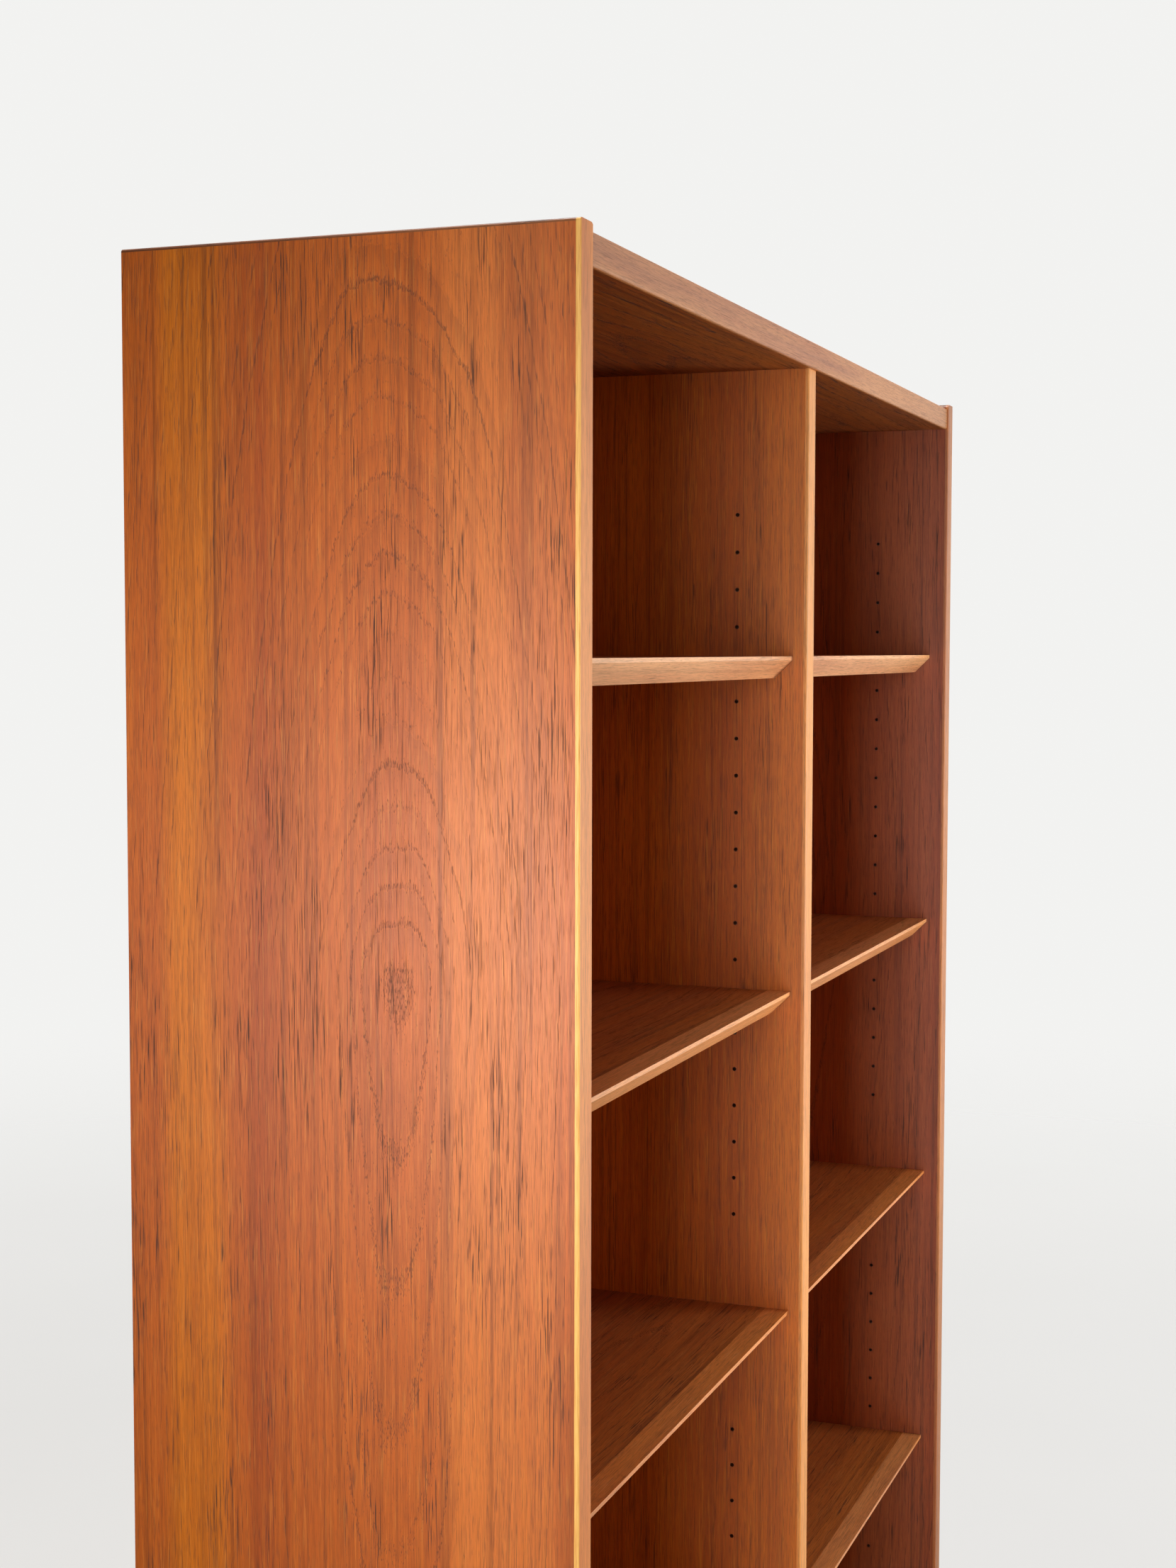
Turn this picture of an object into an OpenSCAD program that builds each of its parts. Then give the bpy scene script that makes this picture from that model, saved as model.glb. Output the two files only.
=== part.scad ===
// Double bookcase in teak-veneered board with solid teak lippings, on a recessed kick board.
// Each bay has one fixed middle shelf and four shelves that rest on hidden wire supports,
// so they slide out to the front and go back in at any row of holes.
// Millimetres. The front faces -Y, +X is the right-hand side seen from the front and +Z is up.
// The origin is on the floor, at the centre of the footprint.

/* [Carcass] */
// Clear width of each of the two bays
bay_w = 500; // [400:1:560]
// Depth of the sides, front to back
case_d = 305; // [295:1:330]
// Thickness of the sides and of the divider
panel_t = 21; // [20:0.5:24]
// Thickness of the top and bottom boards
board_t = 20; // [18:0.5:24]
// Height that the sides stand above the top board
side_rise = 4.5; // [4.5:0.5:8]
// Setback of the top and bottom boards from the front of the sides
board_setback = 1.5; // [0:0.5:4]
// Setback of the divider from the front of the sides
divider_setback = 5; // [2:0.5:8]
// Height of the kick board
kick_h = 66.5; // [50:0.5:100]
// Setback of the kick board from the front of the sides
kick_setback = 30; // [20:1:50]
// Thickness of the kick board and of the rear rail
kick_t = 18; // [15:0.5:20]

/* [Lippings] */
// Thickness of the solid lippings on the front edges
lip_t = 3; // [3:0.5:4]
// Thickness of the solid lippings on top of the sides
top_lip_t = 2.2; // [2.2:0.1:4]
// Radius along the top of a side, on its outer face
top_outer_r = 2; // [1:0.5:2]
// Radius along the top of a side, on its inner face
top_inner_r = 4; // [2:0.5:4]
// Radius of the front arrises of the sides and the divider
arris_r = 1.4; // [0.5:0.1:2]

/* [Back] */
// Thickness of the back panels
back_t = 4; // [3:0.5:4]
// Width of the rebates that hold the back panels
rebate_w = 8; // [6:0.5:10]
// Depth of those rebates
rebate_d = 5; // [5:0.5:7]

/* [Rows of holes] */
// Distance between two rows
row_pitch = 30; // [28:0.5:32]
// Distance from the underside of the top board down to the first row
first_row = 114.5; // [100:0.5:130]
// Front hole of each row in the sides, from the front of the sides
side_hole_y = 71; // [60:0.5:75]
// Front hole of each row in the divider, from the front of the sides
divider_hole_y = 63.5; // [55:0.5:70]
// Distance from the front hole to the rear hole, which is the length of a support wire
wire_span = 180; // [150:1:190]
// Diameter of the holes
hole_d = 3; // [2.9:0.1:3.4]
// Depth of the holes
hole_depth = 9.8; // [9.2:0.1:9.9]

/* [Shelves] */
// Thickness of a shelf
shelf_t = 17.5; // [16.5:0.5:20]
// Setback of the shelves from the front of the sides
shelf_setback = 16.5; // [12:0.5:25]
// Gap between a loose shelf and the panel at each end
shelf_gap = 1; // [0.5:0.1:1.2]
// Height of the upright flat at the top of a shelf's nose
nose_flat = 3; // [2:0.5:4]
// Depth of the solid nose lipping
nose_d = 19; // [18.5:0.5:24]
// Height of the fixed shelf's top above the middle of the rows
fixed_rise = 15; // [10:0.5:20]
// Height of a loose shelf's top above the middle of its wires
wire_drop = 6.6; // [6:0.1:7]

/* [Support wires] */
// Diameter of the wire
wire_d = 2.8; // [2.5:0.1:2.8]
// Length of each bent end inside its hole
wire_leg = 9; // [7:0.5:9]
// Height of the saw kerf that slides over the wire
kerf_h = 3.4; // [3.4:0.1:3.8]
// Depth of the kerf in the end of a shelf
kerf_depth = 4; // [3.5:0.5:6]

/* [Hidden] */
$fn = 48;
eps = 0.01;

// Rows are counted from the top, from 0. A field of rows lies above the fixed shelf and one below it,
// and the rows that the fixed shelf stands in the way of are left out.
field_rows = 20;
middle_row = 22;
lower_field = 2 * middle_row - field_rows + 1;
shelf_rows = [4, 13, 31, 40];

// Heights
bottom_z = kick_h + board_t;
inner_h = 2 * (first_row + middle_row * row_pitch);
top_z = bottom_z + inner_h;
case_h = top_z + board_t + side_rise;
middle_z = bottom_z + inner_h / 2;
fixed_z = middle_z + fixed_rise;
function row_z(n) = top_z - first_row - n * row_pitch;
function shelf_z(i) = row_z(shelf_rows[i]) + wire_drop;

// Widths, from the middle of the case
case_w = 2 * bay_w + 3 * panel_t;
side_in = case_w / 2 - panel_t;
div_x = panel_t / 2;

// Depths, from the front of the sides at y = 0 before the case is centred
back_y = case_d - rebate_d;
shelf_back_gap = 1.5;
shelf_back_y = back_y - shelf_back_gap;
nose_bevel = shelf_t - nose_flat;
board_len = back_y - board_setback;
rail_inset = 12;
rail_y = back_y - rail_inset - kick_t;

// Front arrises of the top and bottom boards: soft next to the compartments, only eased on the other side
board_soft_r = 2;
board_eased_r = 0.8;

// Each back panel runs from the rebate of its side to the middle of the divider's rear edge,
// and from below the bottom board's upper face up into the rebate of the top board.
back_play = 0.5;
back_gap = 0.25;
back_lap = 16;
back_low = bottom_z - back_lap;
back_high = top_z + rebate_w - back_play;

// Half a bay's width, and the middle of the left bay
half_bay = bay_w / 2;
bay_x = -div_x - half_bay;

// Support wires: the straight part lies close to the panel, and its bends are tight
wire_gap = 0.3;
wire_off = wire_d / 2 + wire_gap;
bend_r = wire_d / 2 + 0.2;
kerf_clear = 0.4;

// Dowels, with the room that their bores leave around them
dowel_d = 8;
dowel_fit = 0.05;
dowel_in = 12;
dowel_out = 22;
dowel_ys = [55, 150, 245];

// Panel pins in the back panels
pin_d = 1.4;
pin_len = 16;
pin_head_d = 3.2;
pin_head_t = 0.8;
pin_columns = 8;
pin_margin = 40;

veneer = [0.62, 0.31, 0.14];
solid_teak = [0.74, 0.48, 0.30];
plywood = [0.66, 0.50, 0.34];
beech = [0.82, 0.66, 0.47];
steel = [0.72, 0.72, 0.72];

// Everything is drawn with the front of the sides at y = 0 and the floor at z = 0.
module centred() {
    translate([0, -case_d / 2, 0]) children();
}

// The piece that rounding takes off a corner: the corner itself is at [r, r].
module off_corner(r) {
    difference() {
        square([r + 1, r + 1]);
        circle(r);
    }
}

// A rectangle with its four corners rounded, from lower left round to upper left
module round_rect(w, h, ll, lr, ur, ul) {
    difference() {
        square([w, h]);
        if (ll > 0) translate([ll, ll]) rotate(180) off_corner(ll);
        if (lr > 0) translate([w - lr, lr]) rotate(270) off_corner(lr);
        if (ur > 0) translate([w - ur, h - ur]) off_corner(ur);
        if (ul > 0) translate([ul, h - ul]) rotate(90) off_corner(ul);
    }
}

// Stands a shape drawn in x and z upright, from y0 back to y1
module upright(y0, y1) {
    translate([0, y1, 0]) rotate([90, 0, 0]) linear_extrude(y1 - y0) children();
}

// Runs a shape drawn in y and z across the case, from x0 to x1
module across(x0, x1) {
    translate([x0, 0, 0]) rotate([90, 0, 90]) linear_extrude(x1 - x0) children();
}

// A round bar or drilled hole of diameter d that runs along x from x0 to x1
module bore_x(x0, x1, y, z, d) {
    translate([x0, y, z]) rotate([0, 90, 0]) cylinder(h = x1 - x0, d = d);
}

// Every dowel of the case, each grown by fit all round and at both ends
module end_dowels(z, y_list, fit) {
    for (side = [0, 1], y = y_list)
        mirror([side, 0, 0])
            bore_x(side_in - dowel_out - fit, side_in + dowel_in + fit, y, z, dowel_d + 2 * fit);
}

module top_pegs(fit) {
    end_dowels(top_z + board_t / 2, dowel_ys, fit);
}

module bottom_pegs(fit) {
    end_dowels(bottom_z - board_t / 2, dowel_ys, fit);
}

module divider_pegs(fit) {
    for (y = dowel_ys) {
        translate([0, y, top_z - dowel_out - fit])
            cylinder(h = dowel_out + dowel_in + 2 * fit, d = dowel_d + 2 * fit);
        translate([0, y, bottom_z - dowel_in - fit])
            cylinder(h = dowel_out + dowel_in + 2 * fit, d = dowel_d + 2 * fit);
    }
}

module fixed_shelf_pegs(fit) {
    z = fixed_z - shelf_t / 2;
    end_dowels(z, dowel_ys, fit);
    for (y = dowel_ys)
        bore_x(-div_x - dowel_out - fit, div_x + dowel_out + fit, y, z, dowel_d + 2 * fit);
}

module kick_pegs(fit) {
    for (z = [kick_h / 4, kick_h * 3 / 4])
        end_dowels(z, [kick_setback + kick_t / 2, rail_y + kick_t / 2], fit);
}

// Both holes of every row, drilled from the face at x = 0 towards -x
module rows_of_holes(front_y) {
    for (field = [0, lower_field], n = [field:field + field_rows - 1], y = [front_y, front_y + wire_span])
        bore_x(-hole_depth, 1, y, row_z(n), hole_d);
}

// The left side, with its outer face at x = 0. The top is rounded along both faces.
module side_section() {
    round_rect(panel_t, case_h, 0, 0, top_inner_r, top_outer_r);
}

module side_plan() {
    round_rect(panel_t, case_d, arris_r, arris_r, 0, 0);
}

module place_side(right) {
    mirror([right, 0, 0]) translate([-case_w / 2, 0, 0]) children();
}

module side_board(right) {
    color(veneer) centred() difference() {
        place_side(right) difference() {
            intersection() {
                upright(lip_t, case_d) side_section();
                cube([panel_t, case_d, case_h - top_lip_t]);
            }
            translate([panel_t - rebate_w, back_y, bottom_z - board_t])
                cube([rebate_w + 1, rebate_d + 1, inner_h + board_t + rebate_w]);
            translate([panel_t, 0, 0]) rows_of_holes(side_hole_y);
        }
        top_pegs(dowel_fit);
        bottom_pegs(dowel_fit);
        fixed_shelf_pegs(dowel_fit);
        kick_pegs(dowel_fit);
    }
}

module side_front_lipping(right) {
    color(solid_teak) centred() place_side(right) intersection() {
        upright(0, lip_t) side_section();
        linear_extrude(case_h) side_plan();
    }
}

module side_top_lipping(right) {
    color(solid_teak) centred() place_side(right) intersection() {
        upright(lip_t, case_d) side_section();
        translate([0, 0, case_h - top_lip_t]) cube([panel_t, case_d, top_lip_t]);
    }
}

module divider_board() {
    color(veneer) centred() difference() {
        translate([-div_x, divider_setback + lip_t, bottom_z])
            cube([panel_t, back_y - divider_setback - lip_t, inner_h]);
        for (right = [0, 1]) mirror([right, 0, 0])
            translate([div_x, 0, 0]) rows_of_holes(divider_hole_y);
        divider_pegs(dowel_fit);
        fixed_shelf_pegs(dowel_fit);
    }
}

module divider_front_lipping() {
    color(solid_teak) centred()
        translate([-div_x, divider_setback, bottom_z])
            linear_extrude(inner_h) round_rect(panel_t, lip_t, arris_r, arris_r, 0, 0);
}

// The top board runs over the divider. Its rear edge is rebated from below for the back panels.
module top_board_wood() {
    color(veneer) centred() difference() {
        translate([-side_in, board_setback + lip_t, top_z])
            cube([2 * side_in, case_d - board_setback - lip_t, board_t]);
        translate([-side_in - 1, back_y, top_z - 1])
            cube([2 * side_in + 2, rebate_d + 1, rebate_w + 1]);
        top_pegs(dowel_fit);
        divider_pegs(dowel_fit);
    }
}

module bottom_board_wood() {
    color(veneer) centred() difference() {
        translate([-side_in, board_setback + lip_t, bottom_z - board_t])
            cube([2 * side_in, board_len - lip_t, board_t]);
        bottom_pegs(dowel_fit);
        divider_pegs(dowel_fit);
    }
}

// The solid lipping of the top board or the bottom board, with the radii of its lower and its upper arris
module board_front_lipping(z, lower_r, upper_r) {
    color(solid_teak) centred() across(-side_in, side_in)
        translate([board_setback, z]) round_rect(lip_t, board_t, lower_r, 0, 0, upper_r);
}

module kick_front() {
    color(veneer) centred() difference() {
        translate([-side_in, kick_setback, 0]) cube([2 * side_in, kick_t, kick_h]);
        kick_pegs(dowel_fit);
    }
}

module kick_rear() {
    color(beech) centred() difference() {
        translate([-side_in, rail_y, 0]) cube([2 * side_in, kick_t, kick_h]);
        kick_pegs(dowel_fit);
    }
}

module back_panel(right) {
    edge = side_in + rebate_w - back_play;
    color(plywood) centred() mirror([right, 0, 0])
        translate([-edge, back_y, back_low]) cube([edge - back_gap, back_t, back_high - back_low]);
}

module back_pin(x, z) {
    translate([x, back_y + back_t, z]) rotate([90, 0, 0]) {
        cylinder(h = pin_len, d = pin_d);
        translate([0, 0, -pin_head_t]) cylinder(h = pin_head_t + eps, d = pin_head_d);
    }
}

// Pins down both long edges of a back panel, and along its top, its bottom and the fixed shelf
module back_pins(right) {
    edge_x = side_in + rebate_w / 2;
    inner_x = div_x / 2;
    low = bottom_z + pin_margin;
    step = (top_z - pin_margin - low) / (pin_columns - 1);
    color(steel) centred() mirror([right, 0, 0]) {
        for (x = [-edge_x, -inner_x], i = [0:pin_columns - 1]) back_pin(x, low + i * step);
        for (z = [bottom_z - board_t / 2, fixed_z - shelf_t / 2, top_z + rebate_w / 2], k = [1:3])
            back_pin(-inner_x - k * (edge_x - inner_x) / 4, z);
    }
}

// A shelf's section in y and z, from its nose back to y = rear. The nose is undercut at 45 degrees.
module nose_section() {
    polygon([
        [shelf_setback, 0],
        [shelf_setback, -nose_flat],
        [shelf_setback + nose_bevel, -shelf_t],
        [shelf_setback + nose_d, -shelf_t],
        [shelf_setback + nose_d, 0]
    ]);
}

// The kerfs run from just in front of each wire out through the rear edge of the shelf.
module kerf(front_y) {
    translate([half_bay - shelf_gap - kerf_depth, front_y - wire_d / 2 - kerf_clear, -wire_drop - kerf_h / 2])
        cube([kerf_depth + 1, case_d, kerf_h]);
}

module loose_shelf(right, i) {
    len = bay_w - 2 * shelf_gap;
    front = shelf_setback + nose_d;
    color(veneer) centred() mirror([right, 0, 0]) translate([bay_x, 0, shelf_z(i)])
        difference() {
            translate([-len / 2, front, -shelf_t]) cube([len, shelf_back_y - front, shelf_t]);
            mirror([1, 0, 0]) kerf(side_hole_y);
            kerf(divider_hole_y);
        }
}

module loose_shelf_nose(right, i) {
    len = bay_w - 2 * shelf_gap;
    color(solid_teak) centred() mirror([right, 0, 0]) translate([bay_x, 0, shelf_z(i)])
        across(-len / 2, len / 2) nose_section();
}

module fixed_shelf(right) {
    front = shelf_setback + nose_d;
    color(veneer) centred() difference() {
        mirror([right, 0, 0]) translate([bay_x - half_bay, front, fixed_z - shelf_t])
            cube([bay_w, back_y - front, shelf_t]);
        fixed_shelf_pegs(dowel_fit);
    }
}

module fixed_shelf_nose(right) {
    color(solid_teak) centred() mirror([right, 0, 0]) translate([bay_x, 0, fixed_z])
        across(-half_bay, half_bay) nose_section();
}

// One support wire on the face at x = 0, with the wood at negative x: a straight run with two bent ends
module wire(front_y) {
    for (rear = [0, 1])
        translate([0, front_y + wire_span / 2, 0]) mirror([0, rear, 0]) translate([0, -wire_span / 2, 0]) {
            rotate([0, 90, 0]) translate([0, 0, -wire_leg])
                cylinder(h = wire_leg + wire_off - bend_r, d = wire_d);
            translate([wire_off - bend_r, bend_r, 0]) rotate([0, 0, -90])
                rotate_extrude(angle = 90) translate([bend_r, 0]) circle(d = wire_d);
            translate([wire_off, bend_r, 0]) rotate([-90, 0, 0])
                cylinder(h = wire_span / 2 - bend_r, d = wire_d);
        }
}

// The pair of wires of one loose shelf: one on the side, one on the divider
module wire_pair(right, i) {
    color(steel) centred() mirror([right, 0, 0]) translate([0, 0, row_z(shelf_rows[i])]) {
        translate([-side_in, 0, 0]) wire(side_hole_y);
        translate([-div_x, 0, 0]) mirror([1, 0, 0]) wire(divider_hole_y);
    }
}

module left_side() { side_board(0); }
module right_side() { side_board(1); }
module divider() { divider_board(); }
module top_board() { top_board_wood(); }
module bottom_board() { bottom_board_wood(); }
module left_side_lipping() { side_front_lipping(0); }
module right_side_lipping() { side_front_lipping(1); }
module divider_lipping() { divider_front_lipping(); }
module top_board_lipping() { board_front_lipping(top_z, board_soft_r, board_eased_r); }
module bottom_board_lipping() { board_front_lipping(bottom_z - board_t, board_eased_r, board_soft_r); }
module left_side_top_lipping() { side_top_lipping(0); }
module right_side_top_lipping() { side_top_lipping(1); }
module top_dowels() { color(beech) centred() top_pegs(0); }
module bottom_dowels() { color(beech) centred() bottom_pegs(0); }
module divider_dowels() { color(beech) centred() divider_pegs(0); }
module fixed_shelf_dowels() { color(beech) centred() fixed_shelf_pegs(0); }
module kick_dowels() { color(beech) centred() kick_pegs(0); }

left_side();
right_side();
divider();
top_board();
bottom_board();
left_side_lipping();
right_side_lipping();
divider_lipping();
top_board_lipping();
bottom_board_lipping();
left_side_top_lipping();
right_side_top_lipping();
kick_front();  // kick_board
kick_rear();  // rear_rail
back_panel(0);  // left_back_panel
back_panel(1);  // right_back_panel
loose_shelf(0, 0);  // left_shelf_1
loose_shelf(0, 1);  // left_shelf_2
fixed_shelf(0);  // left_fixed_shelf
loose_shelf(0, 2);  // left_shelf_4
loose_shelf(0, 3);  // left_shelf_5
loose_shelf(1, 0);  // right_shelf_1
loose_shelf(1, 1);  // right_shelf_2
fixed_shelf(1);  // right_fixed_shelf
loose_shelf(1, 2);  // right_shelf_4
loose_shelf(1, 3);  // right_shelf_5
loose_shelf_nose(0, 0);  // left_shelf_1_nose
loose_shelf_nose(0, 1);  // left_shelf_2_nose
fixed_shelf_nose(0);  // left_fixed_shelf_nose
loose_shelf_nose(0, 2);  // left_shelf_4_nose
loose_shelf_nose(0, 3);  // left_shelf_5_nose
loose_shelf_nose(1, 0);  // right_shelf_1_nose
loose_shelf_nose(1, 1);  // right_shelf_2_nose
fixed_shelf_nose(1);  // right_fixed_shelf_nose
loose_shelf_nose(1, 2);  // right_shelf_4_nose
loose_shelf_nose(1, 3);  // right_shelf_5_nose
wire_pair(0, 0);  // left_wires_1
wire_pair(0, 1);  // left_wires_2
wire_pair(0, 2);  // left_wires_4
wire_pair(0, 3);  // left_wires_5
wire_pair(1, 0);  // right_wires_1
wire_pair(1, 1);  // right_wires_2
wire_pair(1, 2);  // right_wires_4
wire_pair(1, 3);  // right_wires_5
top_dowels();
bottom_dowels();
divider_dowels();
fixed_shelf_dowels();
kick_dowels();
back_pins(0);  // left_back_pins
back_pins(1);  // right_back_pins
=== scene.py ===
import math
import bpy
from mathutils import Matrix, Vector


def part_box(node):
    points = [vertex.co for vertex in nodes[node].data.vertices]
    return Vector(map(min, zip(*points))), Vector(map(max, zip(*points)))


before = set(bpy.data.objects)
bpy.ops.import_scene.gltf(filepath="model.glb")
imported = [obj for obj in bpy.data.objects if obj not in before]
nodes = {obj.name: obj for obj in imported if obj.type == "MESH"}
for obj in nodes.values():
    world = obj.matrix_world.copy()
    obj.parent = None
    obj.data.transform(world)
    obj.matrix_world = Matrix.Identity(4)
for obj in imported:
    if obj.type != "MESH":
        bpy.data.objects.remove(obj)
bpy.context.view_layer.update()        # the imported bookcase: its bodies, nodes, joints and record

# The camera: its place in metres, its turn from +Y, its tilt and roll in degrees, and its lens in mm
CAMERA_PLACE = (-1.7336, -0.6113, 1.4132)
CAMERA_TURN = -69.317
CAMERA_TILT = -3.479
CAMERA_ROLL = 0.103
CAMERA_LENS = 51.0
CAMERA_SENSOR = 36.0
CAMERA_REACH = 100.0

# What the camera sees behind the bookcase, and the soft light from all round that falls on the bookcase: a
# least strength, and lobes that each have a direction, a focus and a strength
BACKDROP = (0.890, 0.889, 0.875)
SKY_LEAST = 0.015
SKY_LOBES = (((0.0, -1.0, 0.0), 2.0, 0.56), ((1.0, 0.0, 0.0), 10.0, 2.4))

# The floor: its radius, the radii where it starts to fade and has gone, in metres, and the strength and angle
# of its own light
FLOOR_RADIUS = 7.0
FLOOR_SOLID = 2.0
FLOOR_FADED = 6.65
FLOOR_LIGHT = 2.75
FLOOR_LIGHT_ANGLE = 70

# The soft boxes: name, place, target, size, watts and spread in degrees. The first five light the left side
# and the front, and the last three light the right side, the back and the top.
SOFT_BOXES = (
    ("key", (-1.9, -0.35, 1.1), (-0.53, -0.14, 1.15), (0.35, 1.0), 2.05, 60),
    ("key_high", (-1.9, -0.35, 1.75), (-0.53, 0.0, 1.55), (0.5, 0.4), 0.45, 60),
    ("left_sheen", (-1.73, 0.29, 1.12), (-0.53, -0.15, 1.2), (0.35, 0.35), 0.85, 60),
    ("left_low", (-2.0, -0.3, 0.35), (-0.53, -0.05, 0.35), (0.5, 0.3), 0.8, 45),
    ("front", (0.6, -1.65, 1.1), (0.0, -0.15, 1.1), (0.7, 0.8), 7.0, 85),
    ("right", (2.8, 0.6, 1.4), (0.53, 0.0, 0.9), (1.2, 1.2), 9, 90),
    ("rear", (0.3, 3.0, 1.6), (0.0, 0.15, 0.9), (1.4, 1.2), 17, 90),
    ("above", (0.0, 0.3, 3.4), (0.0, 0.1, 1.66), (0.8, 0.6), 9, 50),
)

# The shelf holes in the uprights, in mm, whose shade is painted as dark spots: their pitch and radius, how
# far the painted shade reaches past the radius, how dark it is from 0 to 1, the height midway between the two
# fields of holes, how far each field's nearest and farthest rows lie from it, a distance from the middle of
# the case that lies past the end of every hole, and where the front and rear columns stand
HOLE_PITCH = 30.0
HOLE_RADIUS = 1.5
HOLE_RIM = 0.4
HOLE_SHADE = 0.8
HOLES_MIDDLE = 861.0
HOLES_FIRST = 90.0
HOLES_LAST = 660.0
HOLES_INSIDE = 525.0
SIDE_COLUMNS = (-81.5, 98.5)
DIVIDER_COLUMNS = (-89.0, 91.0)

# Millimetres in a metre
MM = 1000.0

# In mm: how thick the teak face of a back panel is, and where the plain plywood behind it starts
PANEL_VENEER = 0.7
PANEL_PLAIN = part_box("left_back_panel")[0][1] * MM + PANEL_VENEER

# In mm: the outer edge of the left side's lipping, along which a pale highlight is painted
LEFT_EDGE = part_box("left_side_lipping")[0][0] * MM


def srgb(red, green, blue):
    """A colour given as screen values from 0 to 255, in linear light with alpha."""
    def linear(value):
        share = value / 255
        return share / 12.92 if share <= 0.04045 else ((share + 0.055) / 1.055) ** 2.4
    return (linear(red), linear(green), linear(blue), 1.0)


# Tones of the teak
HONEY = srgb(203, 109, 24)
AMBER = srgb(208, 112, 44)
# A pinker tone, which partly paints the sheen at the front of the sides
SHEEN_ROSE = srgb(204, 110, 62)
TAWNY = srgb(190, 93, 38)
RUSSET = srgb(168, 76, 36)
UMBER = srgb(104, 46, 20)
PORE = srgb(40, 19, 11)
PALE = srgb(228, 152, 96)
# Cream for the highlight painted along an edge
HIGHLIGHT_CREAM = srgb(255, 200, 104)

# How those tones lie across a board: the sides, whose pinker front zone partly paints the sheen there,
# the back and divider, the shelves and other boards, and solid wood
BROAD = ((0.0, TAWNY), (0.08, SHEEN_ROSE), (0.24, SHEEN_ROSE), (0.34, TAWNY), (0.46, TAWNY), (0.60, TAWNY),
         (0.70, RUSSET), (0.74, TAWNY), (0.82, HONEY), (0.88, HONEY), (0.94, TAWNY), (1.0, TAWNY))
EVEN = ((0.0, AMBER), (0.25, TAWNY), (0.5, AMBER), (0.75, TAWNY), (1.0, RUSSET))
BOARD = ((0.0, AMBER), (0.35, TAWNY), (0.55, RUSSET), (0.8, TAWNY), (1.0, RUSSET))
SOLID = ((0.0, PALE), (0.5, AMBER), (1.0, PALE))
TEAK_ROUGHNESS = 0.36


class Shader:
    """Short calls that build the node tree of one material, or of the world."""

    def __init__(self, owner):
        owner.use_nodes = True
        self.tree = owner.node_tree
        self.surface = next(n for n in self.tree.nodes if n.type in ("BSDF_PRINCIPLED", "BACKGROUND"))

    def feed(self, socket, value):
        if isinstance(value, bpy.types.NodeSocket):
            self.tree.links.new(value, socket)
        else:
            socket.default_value = value

    def node(self, kind, inputs=(), **settings):
        new = self.tree.nodes.new(kind)
        for key, value in settings.items():
            setattr(new, key, value)
        for key, value in dict(inputs).items():
            self.feed(new.inputs[key], value)
        return new

    def math(self, operation, *values):
        return self.node("ShaderNodeMath", enumerate(values), operation=operation).outputs[0]

    def apart(self, value, place):
        """How far value lies from place."""
        return self.math("ABSOLUTE", self.math("SUBTRACT", value, place))

    def radius(self, a, b):
        """How far the point (a, b) lies from the origin."""
        return self.math("SQRT", self.math("ADD", self.math("POWER", a, 2.0), self.math("POWER", b, 2.0)))

    def range(self, value, low, high, to_low=0.0, to_high=1.0, smooth=True):
        """Maps low..high onto to_low..to_high, and holds it at both ends."""
        inputs = {"Value": value, "From Min": low, "From Max": high, "To Min": to_low, "To Max": to_high}
        kind = "SMOOTHSTEP" if smooth else "LINEAR"
        return self.node("ShaderNodeMapRange", inputs, interpolation_type=kind, clamp=True).outputs[0]

    def mix(self, share, a, b, blend="MIX"):
        new = self.node("ShaderNodeMix", data_type="RGBA", blend_type=blend, clamp_factor=True)
        for key, value in (("Factor_Float", share), ("A_Color", a), ("B_Color", b)):
            self.feed(next(s for s in new.inputs if s.identifier == key), value)
        return next(s for s in new.outputs if s.identifier == "Result_Color")

    def ramp(self, value, stops):
        """A colour that changes with value: stops are (place, colour) pairs."""
        new = self.node("ShaderNodeValToRGB", {"Fac": value})
        new.color_ramp.interpolation = "EASE"
        elements = new.color_ramp.elements
        while len(elements) < len(stops):
            elements.new(0.5)
        for element, (place, colour) in zip(elements, stops):
            element.position = place
            element.color = colour
        return new.outputs["Color"]

    def place(self, axes):
        """Object coordinates in mm, one value for each letter of axes, and the three as a vector."""
        split = self.node("ShaderNodeSeparateXYZ", {0: self.node("ShaderNodeTexCoord").outputs["Object"]})
        parts = [self.math("MULTIPLY", split.outputs[letter], MM) for letter in axes]
        return parts, self.node("ShaderNodeCombineXYZ", enumerate(parts)).outputs[0]

    def noise(self, space, wide, long, seed, detail=2.0, rough=0.5):
        """Noise from 0 to 1 with spots wide mm across the grain and long mm along it."""
        moved = self.node("ShaderNodeMapping", {"Vector": space, "Location": (seed, seed * 1.7, seed * 2.3),
                                                "Scale": (1 / wide, 1 / wide, 1 / long)})
        inputs = {"Vector": moved.outputs[0], "Scale": 1.0, "Detail": detail, "Roughness": rough}
        return self.node("ShaderNodeTexNoise", inputs).outputs["Fac"]

    def swing(self, space, wide, long, seed, reach, detail=1.0):
        """Noise from -reach to +reach."""
        return self.math("MULTIPLY_ADD", self.noise(space, wide, long, seed, detail), 2 * reach, -reach)

    def chance(self, value):
        """A random number from 0 to 1 for each whole part of value."""
        whole = self.math("FLOOR", value)
        return self.node("ShaderNodeTexWhiteNoise", {"W": whole}, noise_dimensions="1D").outputs["Value"]

    def bump(self, height, strength, distance):
        new = self.node("ShaderNodeBump", {"Height": height, "Strength": strength, "Distance": distance})
        self.feed(self.surface.inputs["Normal"], new.outputs[0])


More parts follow.
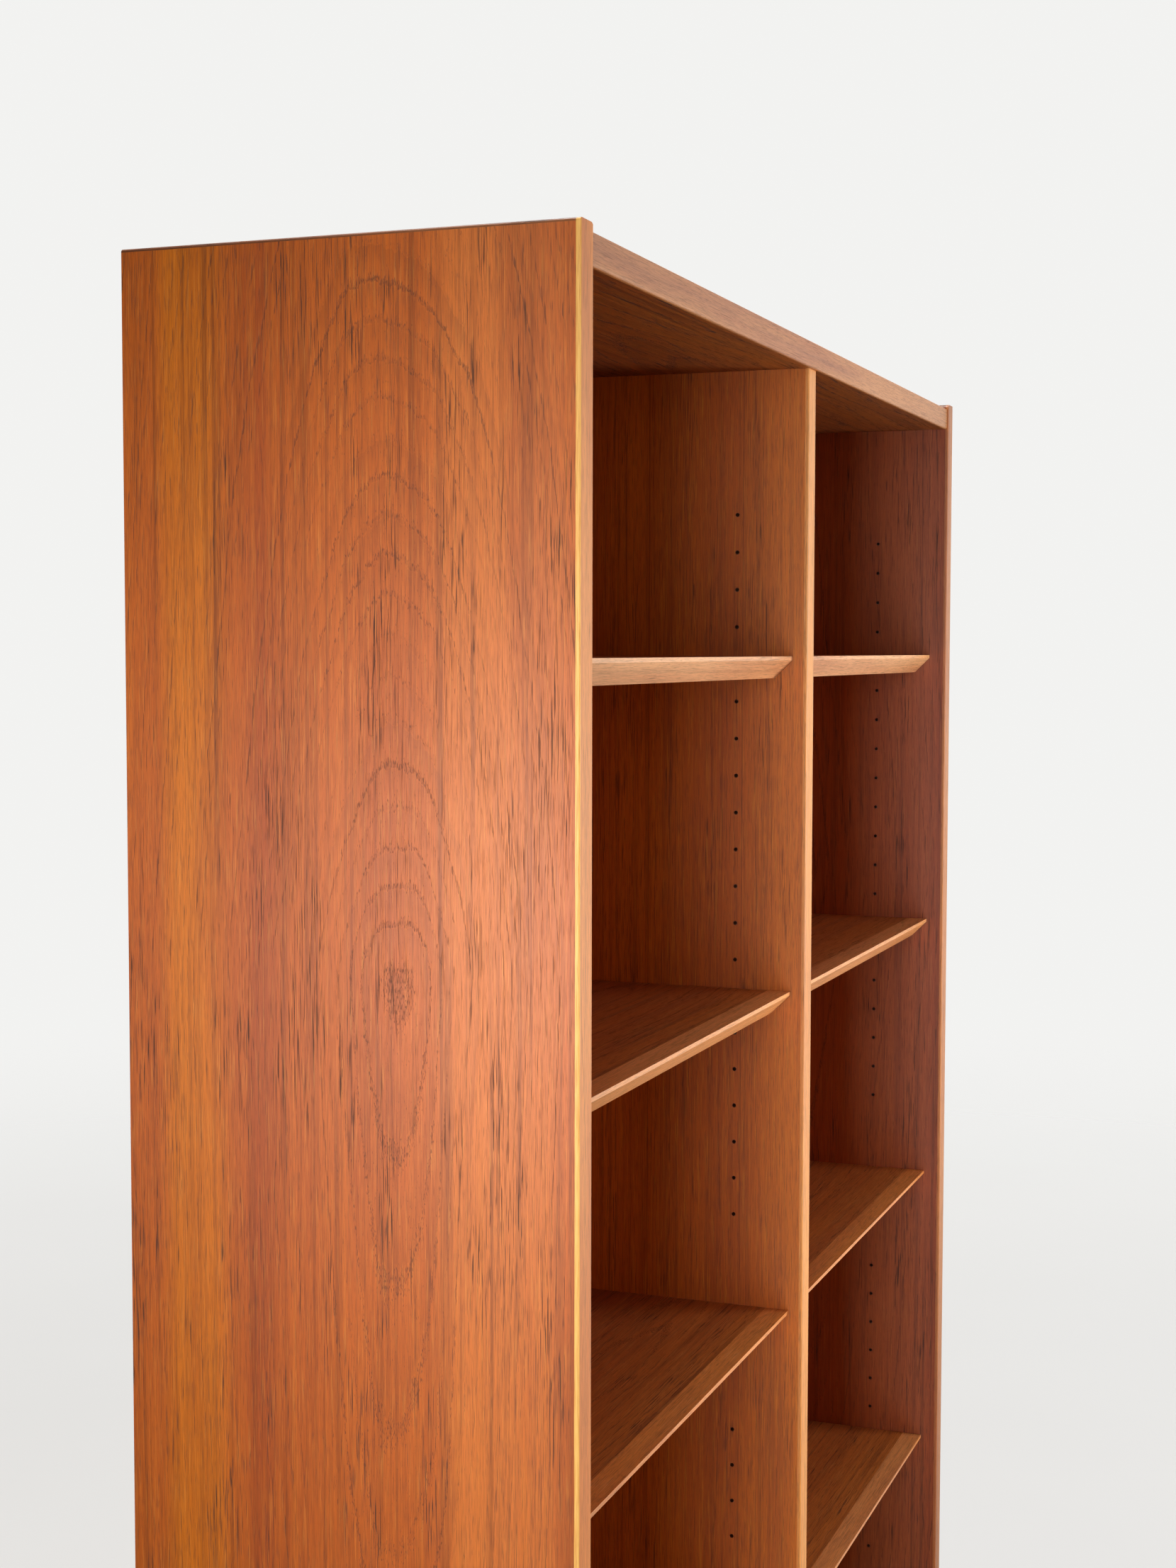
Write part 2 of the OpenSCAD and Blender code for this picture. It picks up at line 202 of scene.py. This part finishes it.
def holes(sh, columns, across, into, along):
    """How dark the painted shade in and round an upright's shelf holes is, which stand in columns; 0
    elsewhere.
    """
    from_middle = sh.apart(along, HOLES_MIDDLE)
    drilled = sh.math("MULTIPLY", sh.math("GREATER_THAN", from_middle, HOLES_FIRST - HOLE_PITCH / 2),
                      sh.math("LESS_THAN", from_middle, HOLES_LAST + HOLE_PITCH / 2))
    drilled = sh.math("MULTIPLY", drilled, sh.math("LESS_THAN", sh.math("ABSOLUTE", into), HOLES_INSIDE))
    height = sh.math("PINGPONG", sh.math("SUBTRACT", from_middle, HOLES_FIRST), HOLE_PITCH / 2)
    nearest = HOLE_PITCH
    for column in columns:
        centre = sh.radius(height, sh.math("SUBTRACT", across, column))
        nearest = sh.math("MINIMUM", centre, nearest)
    rim = sh.range(nearest, HOLE_RADIUS, HOLE_RADIUS + HOLE_RIM, HOLE_SHADE, 0.0)
    return sh.math("MULTIPLY", drilled, rim)


def plywood_colour(sh, space):
    """The plain rear of the back panels: pale rotary-cut veneer with a soft, wide figure."""
    band = sh.noise(space, 26, 320, 211.0, 3.0)
    colour = sh.mix(sh.range(band, 0.36, 0.64), srgb(190, 144, 92), srgb(206, 164, 112))
    fibre = sh.noise(space, 0.8, 26, 213.0, 3.0, 0.65)
    colour = sh.mix(sh.range(fibre, 0.40, 0.75, 0.0, 0.5), colour, srgb(158, 112, 66))
    fleck = sh.range(sh.noise(space, 0.7, 5.0, 217.0, 1.0), 0.66, 0.74)
    colour = sh.mix(sh.math("MULTIPLY", fleck, 0.5), colour, srgb(108, 72, 42))
    cloud = sh.range(sh.noise(space, 160, 240, 219.0), 0.45, 0.75, 0.0, 0.35)
    return sh.mix(cloud, colour, srgb(170, 120, 72))


def yearly_rings(sh, across, along, space, seed, pith, gap, climb, heart, sway):
    """How a board cuts through the rings of its log.

    Gives how far the grain bends aside, each ring's phase from 0 to 1, how strong the ring is, and how far
    out on the flank of the figure a point lies, from 0 at its middle to 1."""
    slow = sh.swing(space, 120, 620, seed, sway)
    bend = sh.math("ADD", slow, sh.swing(space, 15, 150, seed + 3, 2.4, 2.0))
    ripple = sh.swing(space, 3.5, 14.0, seed + 5, 0.8, 2.0)
    side = sh.math("SUBTRACT", sh.math("ADD", across, bend), pith[0])
    rise = sh.math("SUBTRACT", along, heart)
    fall = sh.math("MULTIPLY", rise, -1.0)
    depth = pith[1]
    for way, slope in ((rise, climb[0]), (fall, climb[1])):
        depth = sh.math("ADD", depth, sh.math("MULTIPLY", sh.math("SMOOTH_MAX", way, 0.0, 30.0), slope))
    depth = sh.math("ADD", depth, sh.swing(space, 300, 260, seed + 6, 2.0))
    reach = sh.radius(side, depth)
    rings = sh.math("DIVIDE", sh.math("ADD", reach, ripple), gap)
    rings = sh.math("ADD", rings, sh.swing(space, 34, 380, seed + 7, 0.7))
    strong = sh.math("MULTIPLY_ADD", sh.chance(rings), 0.9, 0.1)
    strong = sh.math("MAXIMUM", strong, sh.range(reach, pith[1] + 6.0, pith[1] + 26.0, 0.75, 0.0))
    flank = sh.range(sh.math("DIVIDE", sh.math("ABSOLUTE", side), reach), 0.2, 0.6)
    return bend, sh.math("FRACT", rings), strong, flank


def veneer_leaves(sh, across, start, width, colour):
    """Gives each leaf of veneer its own depth of colour, with a thin dark seam between two leaves."""
    place = sh.math("DIVIDE", sh.math("SUBTRACT", across, start), width)
    colour = sh.mix(sh.math("MULTIPLY", sh.chance(place), 0.5), colour, RUSSET)
    near = sh.apart(sh.math("FRACT", sh.math("ADD", place, 0.5)), 0.5)
    return sh.mix(sh.range(near, 0.25 / width, 0.6 / width, 0.5, 0.0), colour, PORE)


def ring_colour(sh, space, seed, figure, phase, strong, fibre, colour):
    """Adds bands as wide as a few rings, then each ring's dark late wood and outline, then the fibres."""
    colour = sh.mix(sh.range(sh.noise(space, 30, 420, seed + 11, 3.0), 0.42, 0.70, 0.0, 0.45), colour, RUSSET)
    band = sh.noise(space, 5.0, 520, seed + 12, 3.0, 0.6)
    colour = sh.mix(sh.range(band, 0.50, 0.72, 0.0, 0.46 * figure), colour, UMBER)
    streak = sh.noise(space, 1.9, 300, seed + 15, 2.0)
    colour = sh.mix(sh.range(streak, 0.50, 0.74, 0.0, 0.30 * figure), colour, UMBER)
    colour = sh.mix(sh.range(band, 0.46, 0.30, 0.0, 0.30), colour, AMBER)
    late = sh.math("MULTIPLY", sh.range(phase, 0.1, 1.0), strong)
    colour = sh.mix(sh.math("MULTIPLY", late, 0.24 * figure), colour, UMBER)
    outline = sh.math("MULTIPLY", sh.range(phase, 0.0, 0.06), sh.range(phase, 0.24, 0.10))
    outline = sh.math("MULTIPLY", outline, strong)
    colour = sh.mix(sh.math("MULTIPLY", outline, 0.26 * figure), colour, UMBER)
    colour = sh.mix(sh.range(fibre, 0.46, 0.72, 0.0, 0.46), colour, UMBER)
    return sh.mix(sh.range(sh.noise(space, 0.8, 40, seed + 17, 2.0), 0.52, 0.76, 0.0, 0.30), colour, PALE)


def pores(sh, space, seed, figure, phase, strong, flank):
    """Rows of open vessels where each ring starts, fine ones all over, and clusters of long dark ones."""
    early = sh.math("MULTIPLY", sh.range(phase, 0.0, 0.05), sh.range(phase, 0.36, 0.14))
    early = sh.math("MULTIPLY", early, strong)
    short = sh.noise(space, 0.65, 3.2, seed + 19, 1.0)
    long = sh.noise(space, 0.55, 19, seed + 21, 1.0)
    vessel = sh.math("ADD", sh.math("MULTIPLY", short, sh.math("SUBTRACT", 1.0, flank)),
                     sh.math("MULTIPLY", long, flank))
    edge = sh.math("SUBTRACT", 0.66, sh.math("MULTIPLY", early, 0.21))
    row = sh.range(sh.math("SUBTRACT", vessel, edge), 0.0, 0.09)
    fine = sh.range(sh.noise(space, 0.45, 10.0, seed + 27, 1.0), 0.58, 0.72)
    cluster = sh.range(sh.noise(space, 14, 120, seed + 23, 2.0), 0.48, 0.62)
    slash = sh.range(sh.noise(space, 0.62, 30, seed + 25, 1.0), 0.60, 0.66)
    vein = sh.math("MULTIPLY", slash, cluster)
    vein = sh.math("MULTIPLY", vein, 0.82 * figure)
    dark = sh.math("MAXIMUM", sh.math("MULTIPLY", row, 0.52 * figure), vein)
    return sh.math("MAXIMUM", dark, sh.math("MULTIPLY", fine, 0.28))


def painted_edge_highlight(sh, across, edge, fibre, colour):
    """A pale cream line along an edge, which is a painted highlight on the rounded arris, with a warm orange
    band beside it.
    """
    near = sh.apart(across, edge)
    colour = sh.mix(sh.range(near, 2.5, 5.0, 0.35, 0.0), colour, HONEY)
    painted_glint = sh.math("MULTIPLY", sh.range(near, 0.4, 1.5, 1.0, 0.0), sh.range(fibre, 0.66, 0.40, 0.4, 0.9))
    return sh.mix(painted_glint, colour, HIGHLIGHT_CREAM)


def teak(name, axes, seed, pith=(0.0, 70.0), gap=7.0, climb=(0.0, 0.0), heart=0.0, tones=EVEN,
         span=(-152.0, 152.0), leaf=None, figure=1.0, tint=(1.0, 1.0, 1.0), sway=30.0, bored=None,
         plain_behind=None, highlight_edge=None):
    """Oiled teak, as wood cut from a log.

    axes names the object's axes across, into and along the grain. The yearly rings are circles round the
    pith, which lies at pith = (across, into) in mm, gap apart. The board climbs out of them by climb = (up,
    down) above and below heart, which draws arches and ovals. tones run across the board over span, and tint
    multiplies them. leaf = (start, width) joins the veneer from leaves of that width. figure is how strongly
    the rings and pores show, and sway how far the grain wanders in mm. bored names the columns of shelf
    holes, in and round which shade is painted dark. Beyond plain_behind, in mm into the board, the face is
    plain plywood. highlight_edge is where across the grain a pale highlight is painted along an edge."""
    material = bpy.data.materials.new(name)
    sh = Shader(material)
    (across, into, along), space = sh.place(axes)
    bend, phase, strong, flank = yearly_rings(sh, across, along, space, seed, pith, gap, climb, heart, sway)

    zone = sh.math("ADD", across, sh.math("MULTIPLY", bend, 0.4))
    colour = sh.ramp(sh.range(zone, span[0], span[1], smooth=False), tones)
    if leaf:
        colour = veneer_leaves(sh, across, leaf[0], leaf[1], colour)
    fibre = sh.noise(space, 0.55, 22, seed + 13, 3.0, 0.65)
    colour = ring_colour(sh, space, seed, figure, phase, strong, fibre, colour)
    dark = pores(sh, space, seed, figure, phase, strong, flank)
    colour = sh.mix(dark, colour, PORE)
    colour = sh.mix(1.0, colour, (*tint, 1.0), "MULTIPLY")
    # A pale line painted along the rounded outer arris stands for the highlight it catches
    if highlight_edge is not None:
        colour = painted_edge_highlight(sh, across, highlight_edge, fibre, colour)
    if plain_behind:
        colour = sh.mix(sh.math("GREATER_THAN", into, plain_behind), colour, plywood_colour(sh, space))
    # Painted shade in the shelf holes, as dark spots
    if bored:
        colour = sh.mix(holes(sh, bored, across, into, along), colour, PORE)
    sh.feed(sh.surface.inputs["Base Color"], colour)

    rough = sh.math("MULTIPLY_ADD", fibre, 0.16, TEAK_ROUGHNESS)
    sh.feed(sh.surface.inputs["Roughness"], sh.math("MULTIPLY_ADD", dark, 0.25, rough))
    sh.bump(sh.math("SUBTRACT", sh.math("MULTIPLY", fibre, 0.4), dark), 0.4, 0.00015)
    return material


def beech(name, axes, seed):
    """Plain beech: pale pinkish tan with short dark flecks along the grain."""
    material = bpy.data.materials.new(name)
    sh = Shader(material)
    _, space = sh.place(axes)
    colour = sh.mix(sh.noise(space, 14, 320, seed, 3.0), srgb(204, 160, 112), srgb(224, 186, 140))
    fibre = sh.noise(space, 0.5, 30, seed + 2, 3.0, 0.6)
    colour = sh.mix(sh.range(fibre, 0.42, 0.74, 0.0, 0.35), colour, srgb(170, 120, 78))
    fleck = sh.range(sh.noise(space, 0.45, 2.6, seed + 4, 1.0), 0.66, 0.74)
    colour = sh.mix(sh.math("MULTIPLY", fleck, 0.6), colour, srgb(132, 84, 50))
    sh.feed(sh.surface.inputs["Base Color"], colour)
    sh.feed(sh.surface.inputs["Roughness"], sh.math("MULTIPLY_ADD", fibre, 0.2, 0.52))
    sh.bump(fibre, 0.3, 0.0002)
    return material


def steel(name, seed, dull):
    """Bright drawn steel with fine drawing lines and a little dull grey."""
    material = bpy.data.materials.new(name)
    sh = Shader(material)
    _, space = sh.place("XZY")
    patch = sh.noise(space, 3.0, 24, seed, 3.0)
    lines = sh.noise(space, 0.12, 9.0, seed + 2, 2.0)
    colour = sh.mix(patch, (0.46, 0.45, 0.43, 1.0), (0.66, 0.65, 0.63, 1.0))
    sh.feed(sh.surface.inputs["Base Color"], colour)
    sh.feed(sh.surface.inputs["Metallic"], 1.0)
    sh.feed(sh.surface.inputs["Roughness"], sh.math("MULTIPLY_ADD", lines, 0.22, dull))
    sh.bump(lines, 0.25, 0.00003)
    return material


def paint(names, material):
    """Gives each named node its material."""
    for name in names:
        if not nodes[name].material_slots:
            nodes[name].data.materials.append(material)
        for slot in nodes[name].material_slots:
            slot.link = "OBJECT"
            slot.material = material


def named(*words):
    """The nodes whose names hold all of the words."""
    return [name for name in nodes if all(word in name for word in words)]


def paint_boards():
    """The veneered boards: the uprights, the level boards, the shelves and the back."""
    paint(["left_side"],
          teak("left_side_teak", "YXZ", 2.0, (-31, 72), 3.6, (0.15, 0.04), 1222, BROAD, sway=14,
               tint=(1.16, 1.15, 0.55), bored=SIDE_COLUMNS))
    paint(["right_side"],
          teak("right_side_teak", "YXZ", 31.0, (20, 90), 6.0, (0.05, 0.08), 1180, BROAD,
               tint=(0.74, 0.58, 0.30), bored=SIDE_COLUMNS))
    paint(["divider"],
          teak("divider_teak", "YXZ", 47.0, (-330, 20), leaf=(-94, 80), figure=0.8,
               tint=(1.09, 1.08, 0.20), bored=DIVIDER_COLUMNS))
    paint(["top_board", "bottom_board", "kick_board"],
          teak("board_teak", "YZX", 59.0, (-60, 60), 6.0, (0.03, 0.05), 0, BOARD, figure=1.4,
               tint=(0.74, 0.77, 0.40)))
    shelves = [name for name in named("shelf") if not name.endswith("nose") and "dowels" not in name]
    for count, name in enumerate(shelves):
        paint([name], teak(name + "_teak", "YZX", 67.0 + 9 * count, (-40 + 15 * count, 50), 6.0, (0.05, 0.04),
                           -200 + 60 * count, BOARD, leaf=(-20, 160), tint=(1.02, 1.22, 1.08)))
    paint(named("back_panel"),
          teak("back_panel_teak", "XYZ", 131.0, (-250, 60), 6.0, (0.03, 0.05), 900, span=(-510, 510),
               leaf=(0, 170), tint=(0.95, 0.95, 0.60), plain_behind=PANEL_PLAIN))


def paint_solid_teak():
    """The lippings and the shelf noses, which are plainer and run along the edges."""
    # The left lipping carries a painted highlight along its outer edge
    for end, seed, highlight_edge, tint in (("left", 83.0, LEFT_EDGE, (1.22, 1.04, 0.36)),
                                  # The divider's lipping is tinted paler, partly for its own lighter tone and
                                  # partly as painted sheen
                                  ("divider", 87.0, None, (1.42, 2.12, 2.25)),
                                  ("right", 91.0, None, (0.86, 0.76, 0.45))):
        paint(named("lipping", end),
              teak(end + "_lipping_teak", "XYZ", seed, (-900, 20), 3.0, tones=SOLID, span=(-600, 600),
                   figure=0.5, tint=tint, highlight_edge=highlight_edge))
    level = {"pith": (-100, 60), "gap": 3.0, "tones": SOLID, "span": (0, 1700)}
    paint(named("lipping", "board"),
          teak("level_lipping_teak", "ZYX", 97.0, figure=0.4, tint=(0.88, 0.88, 0.68), **level))
    # The top edges are tinted dark, which paints the shade on their rounded arrises
    paint(named("_side_top_lipping"), teak("top_edge_painted_shade_teak", "ZXY", 101.0, tint=(0.42, 0.36, 0.30), **level))
    # The noses are tinted much paler than the lippings, which paints the light they catch from below and in
    # front
    paint(named("_nose"), teak("nose_teak", "ZYX", 103.0, figure=0.5, tint=(1.42, 1.94, 2.50), **level))


def paint_hidden_pieces():
    """The rear rail, the dowels, the support wires and the pins of the back."""
    paint(["rear_rail"], beech("rail_beech", "YZX", 231.0))
    paint(named("dowels"), beech("dowel_beech", "XZY", 241.0))
    paint(named("wires"), steel("wire_steel", 251.0, 0.22))
    paint(named("pins"), steel("pin_steel", 257.0, 0.34))


def camera():
    data = bpy.data.cameras.new("camera")
    data.lens = CAMERA_LENS
    data.sensor_width = CAMERA_SENSOR
    data.clip_end = CAMERA_REACH
    eye = bpy.data.objects.new("camera", data)
    turn = Matrix.Rotation(math.radians(CAMERA_TURN), 4, "Z")
    tilt = Matrix.Rotation(math.radians(90 + CAMERA_TILT), 4, "X")
    roll = Matrix.Rotation(math.radians(CAMERA_ROLL), 4, "Z")
    eye.matrix_world = Matrix.Translation(CAMERA_PLACE) @ turn @ tilt @ roll
    bpy.context.scene.collection.objects.link(eye)
    bpy.context.scene.camera = eye


def lamp(data, group_name, pieces):
    """A lamp that lights only the given pieces, which it holds in a collection of that name."""
    group = bpy.data.collections.get(group_name)
    if not group:
        group = bpy.data.collections.new(group_name)
        for piece in pieces:
            group.objects.link(piece)
    new = bpy.data.objects.new(data.name, data)
    new.light_linking.receiver_collection = group
    bpy.context.scene.collection.objects.link(new)
    return new


def soft_box(name, place, target, size, watts, spread):
    """A soft box that lights the bookcase alone, and that the camera doesn't see."""
    data = bpy.data.lights.new(name, "AREA")
    data.shape = "RECTANGLE"
    data.size, data.size_y = size
    data.spread = math.radians(spread)
    data.energy = watts
    box = lamp(data, "bookcase_pieces", nodes.values())
    box.location = place
    box.rotation_euler = (Vector(place) - Vector(target)).to_track_quat("Z", "Y").to_euler()
    box.visible_camera = False


def floor():
    """A pale disc, which fades out into the backdrop towards its rim."""
    material = bpy.data.materials.new("pale_floor")
    sh = Shader(material)
    place = sh.node("ShaderNodeTexCoord").outputs["Object"]
    reach = sh.node("ShaderNodeVectorMath", {0: place}, operation="LENGTH").outputs["Value"]
    cloud = sh.node("ShaderNodeTexNoise", {"Vector": place, "Scale": 1.4, "Detail": 3.0}).outputs["Fac"]
    sh.feed(sh.surface.inputs["Base Color"], sh.mix(cloud, (0.80, 0.79, 0.77, 1), (0.84, 0.83, 0.81, 1)))
    sh.feed(sh.surface.inputs["Roughness"], 0.6)
    sh.feed(sh.surface.inputs["Alpha"], sh.range(reach, FLOOR_SOLID, FLOOR_FADED, 1.0, 0.0))
    bpy.ops.mesh.primitive_circle_add(vertices=96, radius=FLOOR_RADIUS, fill_type="NGON")
    disc = bpy.context.object
    disc.name = "floor"
    disc.data.materials.append(material)
    disc.visible_glossy = False
    disc.visible_diffuse = False

    # An even light for the floor alone, so that it stays as pale as the backdrop
    data = bpy.data.lights.new("floor_light", "SUN")
    data.energy = FLOOR_LIGHT
    data.angle = math.radians(FLOOR_LIGHT_ANGLE)
    lamp(data, "floor_only", [disc])


def surround():
    """The world: the camera sees an even backdrop, and soft light comes from the front and the right."""
    world = bpy.data.worlds.new("surround")
    bpy.context.scene.world = world
    sh = Shader(world)
    sh.feed(sh.surface.inputs["Color"], (*BACKDROP, 1.0))
    look = sh.node("ShaderNodeTexCoord").outputs["Generated"]
    total = SKY_LEAST
    for toward, focus, strength in SKY_LOBES:
        lean = sh.node("ShaderNodeVectorMath", {0: look, 1: toward}, operation="DOT_PRODUCT").outputs["Value"]
        lobe = sh.math("POWER", sh.math("MAXIMUM", lean, 0.0), focus)
        total = sh.math("ADD", total, sh.math("MULTIPLY", lobe, strength))
    glow = sh.node("ShaderNodeBackground", {"Strength": total})
    camera_ray = sh.node("ShaderNodeLightPath").outputs["Is Camera Ray"]
    choose = sh.node("ShaderNodeMixShader", {0: camera_ray, 1: glow.outputs[0], 2: sh.surface.outputs[0]})
    sh.feed(sh.tree.nodes["World Output"].inputs["Surface"], choose.outputs[0])


paint_boards()
paint_solid_teak()
paint_hidden_pieces()
camera()
surround()
floor()
for settings in SOFT_BOXES:
    soft_box(*settings)
bpy.context.scene.view_settings.view_transform = "Standard"
